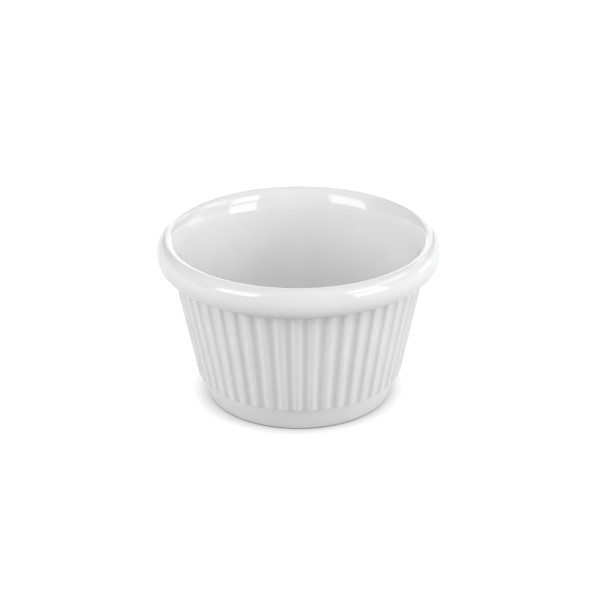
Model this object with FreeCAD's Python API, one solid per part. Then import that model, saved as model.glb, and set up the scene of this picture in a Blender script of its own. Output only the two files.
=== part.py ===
# Fluted ramekin: one moulded cup with a rolled rim, raised ribs on a tapered wall and a plain foot band.
# Millimetres, +Z up. The origin is the centre of the base, on the surface that the cup stands on.
import FreeCAD
import Part
import math
import os

# Overall size
rim_diameter = 66.0
overall_height = 39.6

# Foot band, the plain ring below the ribs, and the recess under the base
foot_height = 6.0
foot_top_diameter = 47.0
foot_bottom_diameter = 43.3
foot_edge_length = 0.6
foot_ring_width = 2.6
foot_recess_depth = 1.0

# Wall and ribs: wall_thickness is level, from the floor of a groove to the inside
wall_thickness = 1.8
rib_count = 48
rib_relief = 0.72
groove_share = 0.5
groove_step = 0.05

# Rolled rim: the bead rises and drops from its widest line
bead_overhang = 3.42
bead_land = 0.3
bead_rise = 3.55
bead_drop = 3.65
crown_inset = 2.5
shoulder_drop = 4.8

# Inside of the cup
floor_thickness = 3.0
inside_corner_length = 7.0

# How far a round stretch pulls towards its corner: a circle's value, and a squarer one under the bead
round_fullness = 0.5523
bead_fullness = 0.62

# Radii and heights that follow from the sizes above
rim_radius = rim_diameter / 2
crown_radius = rim_radius - crown_inset
widest_height = overall_height - bead_rise
underside_height = widest_height - bead_drop
rib_top_radius = rim_radius - bead_overhang
groove_top_radius = rib_top_radius - rib_relief
foot_top_radius = foot_top_diameter / 2
foot_bottom_radius = foot_bottom_diameter / 2
groove_bottom_radius = foot_top_radius + groove_step
wall_slope = (groove_top_radius - groove_bottom_radius) / (underside_height - foot_height)
floor_height = foot_recess_depth + floor_thickness
front_angle = -math.pi / 2


def inside_radius(height):
    """Radius of the inner wall, which runs parallel to the floors of the grooves."""
    return groove_bottom_radius + wall_slope * (height - foot_height) - wall_thickness


def profile_point(radius, height):
    return FreeCAD.Vector(radius, 0, height)


def polar_point(radius, angle, height):
    return FreeCAD.Vector(radius * math.cos(angle), radius * math.sin(angle), height)


def towards(start, end, share):
    return start + (end - start) * share


def straight(start, end):
    return Part.LineSegment(start, end).toShape()


def rounded(start, corner, end, fullness):
    """A round stretch that leaves start and reaches end along their lines to the corner."""
    curve = Part.BezierCurve()
    curve.setPoles([start, towards(start, corner, fullness), towards(end, corner, fullness), end])
    return curve.toShape()


def turned(edges):
    """The surface that a profile sweeps in one full turn about the cup's axis."""
    return Part.Wire(edges).revolve(FreeCAD.Vector(0, 0, 0), FreeCAD.Vector(0, 0, 1), 360)


def circle(radius, height):
    return Part.Wire(Part.makeCircle(radius, FreeCAD.Vector(0, 0, height)))


def foot_surface():
    """Underside recess, standing ring and foot band, from the axis out to the lower ends of the ribs."""
    ring_outer_radius = foot_bottom_radius - foot_edge_length
    ring_inner_radius = ring_outer_radius - foot_ring_width
    recess_centre = profile_point(0, foot_recess_depth)
    recess_edge = profile_point(ring_inner_radius - foot_recess_depth, foot_recess_depth)
    ring_inner = profile_point(ring_inner_radius, 0)
    ring_outer = profile_point(ring_outer_radius, 0)
    corner = profile_point(foot_bottom_radius, 0)
    band_top = profile_point(foot_top_radius, foot_height)
    band_bottom = towards(corner, band_top, foot_edge_length / (band_top - corner).Length)
    return turned([
        straight(recess_centre, recess_edge),
        straight(recess_edge, ring_inner),
        straight(ring_inner, ring_outer),
        rounded(ring_outer, corner, band_bottom, round_fullness),
        straight(band_bottom, band_top),
    ])


def rim_and_inside_surface():
    """Rolled rim from its underside over the crown, then the inner wall and the floor in to the axis."""
    land_edge = profile_point(rib_top_radius + bead_land, underside_height)
    under_corner = profile_point(rim_radius, underside_height)
    widest = profile_point(rim_radius, widest_height)
    top_corner = profile_point(rim_radius, overall_height)
    crown = profile_point(crown_radius, overall_height)
    mouth_corner = profile_point(inside_radius(overall_height), overall_height)
    wall_top_height = overall_height - shoulder_drop
    wall_top = profile_point(inside_radius(wall_top_height), wall_top_height)
    floor_corner = profile_point(inside_radius(floor_height), floor_height)
    wall_bottom = towards(floor_corner, wall_top, inside_corner_length / (wall_top - floor_corner).Length)
    floor_centre = profile_point(0, floor_height)
    floor_edge = towards(floor_corner, floor_centre, inside_corner_length / floor_corner.x)
    return turned([
        rounded(land_edge, under_corner, widest, bead_fullness),
        rounded(widest, top_corner, crown, round_fullness),
        rounded(crown, mouth_corner, wall_top, round_fullness),
        straight(wall_top, wall_bottom),
        rounded(wall_bottom, floor_corner, floor_edge, round_fullness),
        straight(floor_edge, floor_centre),
    ])


def ribbed_outline(groove_radius, height):
    """Level outline of the ribbed wall: a convex crown arc for each rib, then a concave groove arc."""
    pitch = 2 * math.pi / rib_count
    crown_half_angle = pitch * (1 - groove_share) / 2
    flank_radius = groove_radius + rib_relief * groove_share
    edges = []
    for rib in range(rib_count):
        middle = front_angle + rib * pitch
        left = polar_point(flank_radius, middle - crown_half_angle, height)
        crown = polar_point(groove_radius + rib_relief, middle, height)
        right = polar_point(flank_radius, middle + crown_half_angle, height)
        groove = polar_point(groove_radius, middle + pitch / 2, height)
        next_left = polar_point(flank_radius, middle + pitch - crown_half_angle, height)
        edges.append(Part.Arc(left, crown, right).toShape())
        edges.append(Part.Arc(right, groove, next_left).toShape())
    return Part.Wire(edges)


def level_ring(outer_wire, inner_wire):
    return Part.makeFace([outer_wire, inner_wire], "Part::FaceMakerBullseye")


def ramekin_body():
    """The whole cup, sewn from its foot, its ribbed wall and its rim and inside."""
    lower_outline = ribbed_outline(groove_bottom_radius, foot_height)
    upper_outline = ribbed_outline(groove_top_radius, underside_height)
    surfaces = [
        foot_surface(),
        level_ring(lower_outline, circle(foot_top_radius, foot_height)),
        Part.makeLoft([lower_outline, upper_outline], False, True),
        level_ring(circle(rib_top_radius + bead_land, underside_height), upper_outline),
        rim_and_inside_surface(),
    ]
    shell = Part.Shell([face for surface in surfaces for face in surface.Faces])
    shell.sewShape()
    body = Part.Solid(shell)
    if body.Volume < 0:
        body.reverse()
    return body


os.makedirs("parts", exist_ok=True)
cup = ramekin_body()
cup.exportStep("parts/ramekin_body.step")
print("valid", cup.isValid(), "closed", cup.isClosed(), "faces", len(cup.Faces))
print("volume in cubic centimetres", round(cup.Volume / 1000, 3))
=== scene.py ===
# Looks of the fluted ramekin: the moulded cup as one clean mesh, and its melamine finish.
# A white floor, soft panel lights and a camera at the photograph's angle stand round it.
# Metres, +Z up, in the CAD model's frame: the origin is the centre of the base, and a rib faces -Y.
import math
import bpy
from mathutils import Matrix, Vector


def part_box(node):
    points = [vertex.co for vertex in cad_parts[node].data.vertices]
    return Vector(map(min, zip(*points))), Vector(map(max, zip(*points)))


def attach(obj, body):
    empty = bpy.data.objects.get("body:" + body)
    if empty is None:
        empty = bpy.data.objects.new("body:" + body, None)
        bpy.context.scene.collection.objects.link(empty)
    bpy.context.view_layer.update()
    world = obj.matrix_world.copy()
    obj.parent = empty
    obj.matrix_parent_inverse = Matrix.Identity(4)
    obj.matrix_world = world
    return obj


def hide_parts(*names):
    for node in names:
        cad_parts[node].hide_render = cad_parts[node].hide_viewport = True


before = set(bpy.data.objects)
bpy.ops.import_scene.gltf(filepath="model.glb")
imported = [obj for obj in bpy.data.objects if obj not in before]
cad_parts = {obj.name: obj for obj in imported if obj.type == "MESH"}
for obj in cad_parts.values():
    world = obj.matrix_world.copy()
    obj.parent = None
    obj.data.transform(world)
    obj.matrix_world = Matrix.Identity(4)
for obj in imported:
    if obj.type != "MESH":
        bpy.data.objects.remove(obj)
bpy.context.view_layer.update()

MM = 0.001

# Overall size, from the CAD node
cad_low, cad_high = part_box("ramekin_body")
rim_radius = (cad_high[0] - cad_low[0]) / 2
overall_height = cad_high[2]

# Foot band, standing ring and the recess under the base
foot_height = 6.0 * MM
foot_top_radius = 23.5 * MM
foot_bottom_radius = 21.65 * MM
foot_edge_length = 0.6 * MM
foot_ring_width = 2.6 * MM
foot_recess_depth = 1.0 * MM

# Wall and ribs: wall_thickness is level, from the floor of a groove to the inside
wall_thickness = 1.8 * MM
rib_count = 48
rib_relief = 0.72 * MM
groove_step = 0.05 * MM

# Section of a rib: where its crown ends and its groove begins, in pitches from the middle of the crown
crown_edge = 0.17
groove_edge = 0.31
crown_fullness = 0.74

# Rolled rim: the bead rises and drops from its widest line
bead_overhang = 3.42 * MM
bead_land = 0.3 * MM
bead_rise = 3.55 * MM
bead_drop = 3.65 * MM
crown_inset = 2.5 * MM
shoulder_drop = 4.8 * MM

# Inside of the cup
floor_thickness = 3.0 * MM
inside_corner_length = 7.0 * MM

# How far a round stretch pulls towards its corner: a circle's value, and a squarer one under the bead
round_fullness = 0.5523
bead_fullness = 0.62

# Small moulded rounds where the CAD edges are sharp
rib_end_round = 0.16 * MM
undercut_round = 0.14 * MM
underside_round = 0.3 * MM

# How finely the mesh follows the shape, and the angle in degrees above which an edge stays sharp
rib_stretch_columns = 5
small_round_rows = 4
foot_edge_rows = 8
land_rows = 2
bead_rows = 15
corner_rows = 10
wall_rows = 3
floor_rows = 3
sharpest_smooth_angle = 38.0

# Melamine finish: clouds in the white, gloss with fine scuffs, a dulled standing ring and a fine skin
darker_white = (0.775, 0.777, 0.776, 1)
lighter_white = (0.805, 0.807, 0.806, 1)
darker_share = 0.3
lighter_share = 0.7
refractive_index = 1.65
gloss_roughness = 0.04
scuff_roughness = 0.03
worn_roughness = 0.5
worn_height = 0.35 * MM
skin_strength = 0.05
skin_depth = 0.05 * MM

# Floor: its own grey, the reach of the contact shadow painted into its glow, and the white that it shows
# near the cup and far away
floor_grey = (0.43, 0.43, 0.43, 1)
painted_shade_reach = 4.5 * MM
darkest_openness = 0.22
near_distance = 0.3
far_distance = 1.5
near_white = 0.70
far_white = 0.92

# Room light from the horizon and from straight above
horizon_level = 0.21
zenith_level = 0.39

# Radii and heights that follow from the sizes above
widest_height = overall_height - bead_rise
underside_height = widest_height - bead_drop
rib_top_radius = rim_radius - bead_overhang
groove_top_radius = rib_top_radius - rib_relief
groove_bottom_radius = foot_top_radius + groove_step
wall_slope = (groove_top_radius - groove_bottom_radius) / (underside_height - foot_height)
floor_height = foot_recess_depth + floor_thickness
front_angle = -math.pi / 2


def groove_radius(height):
    """Radius of the groove floors, on the straight tapered wall."""
    return groove_bottom_radius + wall_slope * (height - foot_height)


def inside_radius(height):
    """Radius of the inner wall, which runs parallel to the groove floors."""
    return groove_radius(height) - wall_thickness


def blended(start, end, share):
    return tuple(a + (b - a) * share for a, b in zip(start, end))


def weighted_sum(weights, values):
    return sum(weight * value for weight, value in zip(weights, values))


def straight(start, end, rows):
    """Rows from start up to, but not including, end."""
    return [blended(start, end, row / rows) for row in range(rows)]


def rounded(start, corner, end, fullness, rows):
    """A round stretch from start up to, but not including, end, along their lines to the corner."""
    first = blended(start, corner, fullness)
    second = blended(end, corner, fullness)
    stretch = []
    for row in range(rows):
        share = row / rows
        rest = 1 - share
        weights = (rest ** 3, 3 * rest ** 2 * share, 3 * rest * share ** 2, share ** 3)
        coordinates = zip(start, first, second, end)
        stretch.append(tuple(weighted_sum(weights, values) for values in coordinates))
    return stretch


def towards(start, end, length):
    """The point at that length along the way from start to end, in radius and height."""
    return blended(start, end, length / math.hypot(end[0] - start[0], end[1] - start[1]))


def small_round(before, corner, after, size):
    """A corner taken off by a round of that size."""
    start = towards(corner, before, size)
    end = towards(corner, after, size)
    return rounded(start, corner, end, round_fullness, small_round_rows) + [end]


def rib_section():
    """Half of one rib and groove, a round crown and then a round groove.

    Each point is the turn from the crown in pitches, and the share of the relief.
    """
    crown = (0.0, 1.0)
    crown_corner = (crown_edge, 1.0)
    flank = ((crown_edge + groove_edge) / 2, 0.5)
    groove_corner = (groove_edge, 0.0)
    groove = (0.5, 0.0)
    return (
        rounded(crown, crown_corner, flank, crown_fullness, rib_stretch_columns)
        + rounded(flank, groove_corner, groove, round_fullness, rib_stretch_columns)
        + [groove]
    )


def rib_columns():
    """Angle and share of the rib relief for each column of the mesh, once round the cup."""
    half = rib_section()
    whole = [(-turn, share) for turn, share in reversed(half[1:-1])] + half
    pitch = 2 * math.pi / rib_count
    return [
        (front_angle + (rib + turn) * pitch, share)
        for rib in range(rib_count)
        for turn, share in whole
    ]


def foot_profile():
    """Recess, standing ring and foot band, from near the axis out to the lower ends of the ribs."""
    ring_outer = (foot_bottom_radius - foot_edge_length, 0.0, 0.0)
    ring_inner = (ring_outer[0] - foot_ring_width, 0.0, 0.0)
    recess_edge = (ring_inner[0] - foot_recess_depth, foot_recess_depth, 0.0)
    recess_centre = (0.0, foot_recess_depth, 0.0)
    corner = (foot_bottom_radius, 0.0, 0.0)
    band_top = (foot_top_radius, foot_height, 0.0)
    band_bottom = towards(corner, band_top, foot_edge_length)
    recess_round = small_round(recess_centre, recess_edge, ring_inner, underside_round)
    ring_round = small_round(recess_edge, ring_inner, ring_outer, underside_round)
    return (
        straight(recess_centre, recess_round[0], floor_rows)[1:]
        + recess_round
        + ring_round
        + rounded(ring_outer, corner, band_bottom, round_fullness, foot_edge_rows)
        + straight(band_bottom, band_top, wall_rows)
        + [band_top]
    )


def wall_profile():
    """Ribbed wall, from the ends of the ribs up to the undercut of the rim.

    The third value of a point is how far the ribs stand out there, from 0 to 1.
    """
    end_level = (groove_bottom_radius, foot_height, 0.0)
    end_edge = (groove_bottom_radius, foot_height, 1.0)
    wall_start = (groove_radius(foot_height + rib_end_round), foot_height + rib_end_round, 1.0)
    end_start = blended(end_edge, end_level, rib_end_round / rib_relief)
    undercut_corner = (groove_top_radius, underside_height, 1.0)
    wall_end = (groove_radius(underside_height - undercut_round), underside_height - undercut_round, 1.0)
    land_edge = (rib_top_radius + bead_land, underside_height, 0.0)
    land_start = blended(undercut_corner, land_edge, undercut_round / (rib_relief + bead_land))
    return (
        [end_level]
        + rounded(end_start, end_edge, wall_start, round_fullness, small_round_rows)
        + straight(wall_start, wall_end, wall_rows)
        + rounded(wall_end, undercut_corner, land_start, round_fullness, small_round_rows)
        + straight(land_start, land_edge, land_rows)
    )


def rim_and_inside_profile():
    """Rolled rim from its underside over the crown, then the inner wall and the floor towards the axis."""
    land_edge = (rib_top_radius + bead_land, underside_height, 0.0)
    under_corner = (rim_radius, underside_height, 0.0)
    widest = (rim_radius, widest_height, 0.0)
    top_corner = (rim_radius, overall_height, 0.0)
    crown = (rim_radius - crown_inset, overall_height, 0.0)
    mouth_corner = (inside_radius(overall_height), overall_height, 0.0)
    wall_top_height = overall_height - shoulder_drop
    wall_top = (inside_radius(wall_top_height), wall_top_height, 0.0)
    floor_corner = (inside_radius(floor_height), floor_height, 0.0)
    wall_bottom = towards(floor_corner, wall_top, inside_corner_length)
    floor_centre = (0.0, floor_height, 0.0)
    floor_edge = towards(floor_corner, floor_centre, inside_corner_length)
    return (
        rounded(land_edge, under_corner, widest, bead_fullness, bead_rows)
        + rounded(widest, top_corner, crown, round_fullness, bead_rows)
        + rounded(crown, mouth_corner, wall_top, round_fullness, bead_rows)
        + straight(wall_top, wall_bottom, wall_rows)
        + rounded(wall_bottom, floor_corner, floor_edge, round_fullness, corner_rows)
        + straight(floor_edge, floor_centre, floor_rows)
    )


def cup_mesh():
    """One closed mesh: the profile's rows carried round the axis, and closed at the axis at both ends."""
    rows = foot_profile() + wall_profile() + rim_and_inside_profile()
    around = rib_columns()
    columns = len(around)
    vertices = []
    for radius, height, ribbing in rows:
        for angle, share in around:
            reach = radius + ribbing * rib_relief * share
            vertices.append((reach * math.cos(angle), reach * math.sin(angle), height))
    faces = []
    for row in range(len(rows) - 1):
        for column in range(columns):
            beside = (column + 1) % columns
            low = row * columns
            high = low + columns
            faces.append((low + column, low + beside, high + beside, high + column))
    underside_centre = len(vertices)
    floor_centre = underside_centre + 1
    vertices.append((0.0, 0.0, foot_recess_depth))
    vertices.append((0.0, 0.0, floor_height))
    last_row = (len(rows) - 1) * columns
    for column in range(columns):
        beside = (column + 1) % columns
        faces.append((underside_centre, beside, column))
        faces.append((floor_centre, last_row + column, last_row + beside))
    mesh = bpy.data.meshes.new("ramekin_cup")
    mesh.from_pydata(vertices, [], faces)
    mesh.validate()
    mesh.shade_smooth()
    mesh.set_sharp_from_angle(angle=math.radians(sharpest_smooth_angle))
    return mesh


def set_input(tree, socket, value):
    """Sets a socket to a value, or links it where the value is another node's output."""
    if isinstance(value, bpy.types.NodeSocket):
        tree.links.new(value, socket)
    else:
        socket.default_value = value


def new_node(tree, kind, **inputs):
    """A new node with its inputs set or linked. An underscore in a name stands for a space."""
    node = tree.nodes.new(kind)
    for name, value in inputs.items():
        set_input(tree, node.inputs[name.replace("_", " ")], value)
    return node


def math_node(tree, operation, first, second=0.0):
    """The output of a math node, with each input a number or another node's output."""
    node = tree.nodes.new("ShaderNodeMath")
    node.operation = operation
    set_input(tree, node.inputs[0], first)
    set_input(tree, node.inputs[1], second)
    return node.outputs["Value"]


def map_range(tree, value, from_min, from_max, to_min, to_max):
    """The output of a node that carries a value from one range to another and holds it there."""
    node = new_node(
        tree, "ShaderNodeMapRange", Value=value,
        From_Min=from_min, From_Max=from_max, To_Min=to_min, To_Max=to_max,
    )
    return node.outputs["Result"]


def melamine_material():
    """Glossy moulded white melamine, faintly clouded, with a fine skin and a dulled standing ring."""
    material = bpy.data.materials.new("glossy_melamine")
    material.use_nodes = True
    tree = material.node_tree
    shader = tree.nodes["Principled BSDF"]
    shader.inputs["IOR"].default_value = refractive_index
    place = tree.nodes.new("ShaderNodeTexCoord").outputs["Object"]

    clouds = new_node(tree, "ShaderNodeTexNoise", Vector=place, Scale=90.0, Detail=3.0)
    tint = new_node(tree, "ShaderNodeValToRGB", Fac=clouds.outputs["Fac"])
    dark_end, light_end = tint.color_ramp.elements
    dark_end.position = darker_share
    dark_end.color = darker_white
    light_end.position = lighter_share
    light_end.color = lighter_white
    tree.links.new(tint.outputs["Color"], shader.inputs["Base Color"])

    height = new_node(tree, "ShaderNodeSeparateXYZ", Vector=place).outputs["Z"]
    worn = map_range(tree, height, 0.0, worn_height, worn_roughness, gloss_roughness)
    scuffs = new_node(tree, "ShaderNodeTexNoise", Vector=place, Scale=900.0, Detail=4.0)
    scatter = map_range(tree, scuffs.outputs["Fac"], 0.0, 1.0, 0.0, scuff_roughness)
    tree.links.new(math_node(tree, "ADD", worn, scatter), shader.inputs["Roughness"])

    skin = new_node(tree, "ShaderNodeTexNoise", Vector=place, Scale=700.0, Detail=2.0)
    grain = skin.outputs["Fac"]
    bump = new_node(tree, "ShaderNodeBump", Height=grain, Strength=skin_strength, Distance=skin_depth)
    tree.links.new(bump.outputs["Normal"], shader.inputs["Normal"])
    return material


def whiteness(tree):
    """1 where the camera sees a surface, straight or in gloss or glass, and 0 where it only gives light."""
    rays = tree.nodes.new("ShaderNodeLightPath").outputs
    reflected = math_node(tree, "MAXIMUM", rays["Is Glossy Ray"], rays["Is Transmission Ray"])
    return math_node(tree, "MAXIMUM", rays["Is Camera Ray"], reflected)


def floor_material():
    """Matt floor that reads white to the camera and in reflections; the lamps cast the cup's shadow on its
    grey, and a contact shadow near the cup is painted into its glow.
    """
    material = bpy.data.materials.new("studio_floor")
    material.use_nodes = True
    tree = material.node_tree
    tree.nodes.clear()
    diffuse = new_node(tree, "ShaderNodeBsdfDiffuse", Color=floor_grey)
    # Painted contact shadow: ambient occlusion near the cup dims the floor's glow.
    openness = new_node(tree, "ShaderNodeAmbientOcclusion", Distance=painted_shade_reach).outputs["AO"]
    painted_shade_factor = math_node(tree, "SQRT", map_range(tree, openness, darkest_openness, 1.0, 0.0, 1.0))
    place = tree.nodes.new("ShaderNodeTexCoord").outputs["Object"]
    away = new_node(tree, "ShaderNodeVectorMath", Vector=place)
    away.operation = "LENGTH"
    white = map_range(tree, away.outputs["Value"], near_distance, far_distance, near_white, far_white)
    shown = math_node(tree, "MULTIPLY", painted_shade_factor, white)
    glow = new_node(tree, "ShaderNodeEmission", Strength=math_node(tree, "MULTIPLY", shown, whiteness(tree)))
    both = tree.nodes.new("ShaderNodeAddShader")
    tree.links.new(diffuse.outputs["BSDF"], both.inputs[0])
    tree.links.new(glow.outputs["Emission"], both.inputs[1])
    output = tree.nodes.new("ShaderNodeOutputMaterial")
    tree.links.new(both.outputs["Shader"], output.inputs["Surface"])
    return material


def add_floor():
    """A round floor that curves up into a low backdrop on all sides."""
    flat_radius = 2.4
    cove_radius = 0.6
    cove_rows = 12
    columns = 64
    vertices = []
    for row in range(cove_rows + 1):
        rise = math.pi / 2 * row / cove_rows
        radius = flat_radius + cove_radius * math.sin(rise)
        height = cove_radius * (1 - math.cos(rise))
        for column in range(columns):
            angle = 2 * math.pi * column / columns
            vertices.append((radius * math.cos(angle), radius * math.sin(angle), height))
    faces = [tuple(range(columns))]
    for low in range(0, cove_rows * columns, columns):
        high = low + columns
        for column in range(columns):
            beside = (column + 1) % columns
            faces.append((low + beside, low + column, high + column, high + beside))
    mesh = bpy.data.meshes.new("floor")
    mesh.from_pydata(vertices, [], faces)
    floor = bpy.data.objects.new("floor", mesh)
    bpy.context.scene.collection.objects.link(floor)
    floor.data.materials.append(floor_material())


def bearing(azimuth, elevation, distance):
    """A point seen from the cup: azimuth 0 is the front, positive to the right; degrees and metres."""
    across = math.radians(azimuth)
    up = math.radians(elevation)
    return Vector((
        distance * math.sin(across) * math.cos(up),
        -distance * math.cos(across) * math.cos(up),
        distance * math.sin(up),
    ))


def add_panel(name, azimuth, elevation, distance, width, height, radiance, facing=None, mirrored=True):
    """A rectangular light panel that faces the cup, or the azimuth that facing gives.

    Gloss shows the panel only where mirrored is true.
    """
    data = bpy.data.lights.new(name, "AREA")
    data.shape = "RECTANGLE"
    data.size = width
    data.size_y = height
    data.energy = radiance * math.pi * width * height
    panel = bpy.data.objects.new(name, data)
    place = bearing(azimuth, elevation, distance)
    back = place if facing is None else bearing(facing, 0, 1)
    turn = back.to_track_quat("Z", "Y").to_matrix().to_4x4()
    panel.matrix_world = Matrix.Translation(place) @ turn
    panel.visible_camera = False
    panel.visible_glossy = mirrored
    bpy.context.scene.collection.objects.link(panel)


def add_world():
    """Soft room light, stronger from above."""
    world = bpy.data.worlds.new("studio")
    world.use_nodes = True
    tree = world.node_tree
    background = tree.nodes["Background"]
    background.inputs["Color"].default_value = (1, 1, 1, 1)
    direction = tree.nodes.new("ShaderNodeTexCoord").outputs["Generated"]
    height = new_node(tree, "ShaderNodeSeparateXYZ", Vector=direction).outputs["Z"]
    level = map_range(tree, height, 0.0, 1.0, horizon_level, zenith_level)
    tree.links.new(level, background.inputs["Strength"])
    bpy.context.scene.world = world


def add_camera():
    """Stands where the photograph was taken from, a little to the right of the front rib."""
    azimuth = 1.15
    elevation = 24.83
    distance = 437.8 * MM
    aim_height = 22.78 * MM
    aim_to_the_right = 0.21 * MM
    roll = -0.36
    data = bpy.data.cameras.new("camera")
    data.lens = 111.37
    data.sensor_width = 36.0
    camera = bpy.data.objects.new("camera", data)
    across = math.radians(azimuth)
    aim = Vector((aim_to_the_right * math.cos(across), aim_to_the_right * math.sin(across), aim_height))
    back = bearing(azimuth, elevation, distance)
    turn = back.to_track_quat("Z", "Y").to_matrix().to_4x4()
    camera.matrix_world = Matrix.Translation(aim + back) @ turn @ Matrix.Rotation(math.radians(roll), 4, "Z")
    bpy.context.scene.collection.objects.link(camera)
    bpy.context.scene.camera = camera


cup = bpy.data.objects.new("ramekin_cup", cup_mesh())
bpy.context.scene.collection.objects.link(cup)
cup.data.materials.append(melamine_material())
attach(cup, "root")
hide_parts("ramekin_body")

add_floor()
add_world()

# Windows and softboxes that the photograph's gloss shows, from the left front round to the back
add_panel("softbox_left", -54, 31, 0.66, 0.45, 0.31, 3.2, facing=-14)
add_panel("window_right_upper", 59, 39.6, 0.705, 0.30, 0.255, 3.4, facing=39)
add_panel("window_right_lower", 59, 17.5, 0.57, 0.30, 0.19, 3.0, facing=39)
add_panel("window_right_back", 96, 42, 0.7, 0.32, 0.18, 1.7)
add_panel("window_back_low", 117, 11, 0.7, 0.24, 0.22, 1.0)
add_panel("window_back", 143, 35, 0.7, 0.22, 0.13, 1.5)
add_panel("backdrop", 180, 18, 0.7, 0.45, 0.45, 1.5)

# Fills that even out the light and stay out of the gloss
add_panel("strip_left", -74, 15, 0.7, 0.30, 0.35, 4.2, mirrored=False)
add_panel("strip_right", 74, 15, 0.7, 0.30, 0.35, 3.6, mirrored=False)
add_panel("side_high_left", -74, 42, 0.7, 0.30, 0.30, 0.5, mirrored=False)
add_panel("side_high_right", 74, 42, 0.7, 0.30, 0.30, 1.2, mirrored=False)
add_panel("back_fill", 180, 6, 0.7, 0.60, 0.14, 4.0, mirrored=False)
add_panel("front_fill", 0, 14, 0.7, 0.35, 0.35, 1.0, mirrored=False)
add_panel("front_upper", 0, 46, 0.7, 0.45, 0.30, 1.2, mirrored=False)

add_camera()

bpy.context.scene.view_settings.view_transform = "Standard"
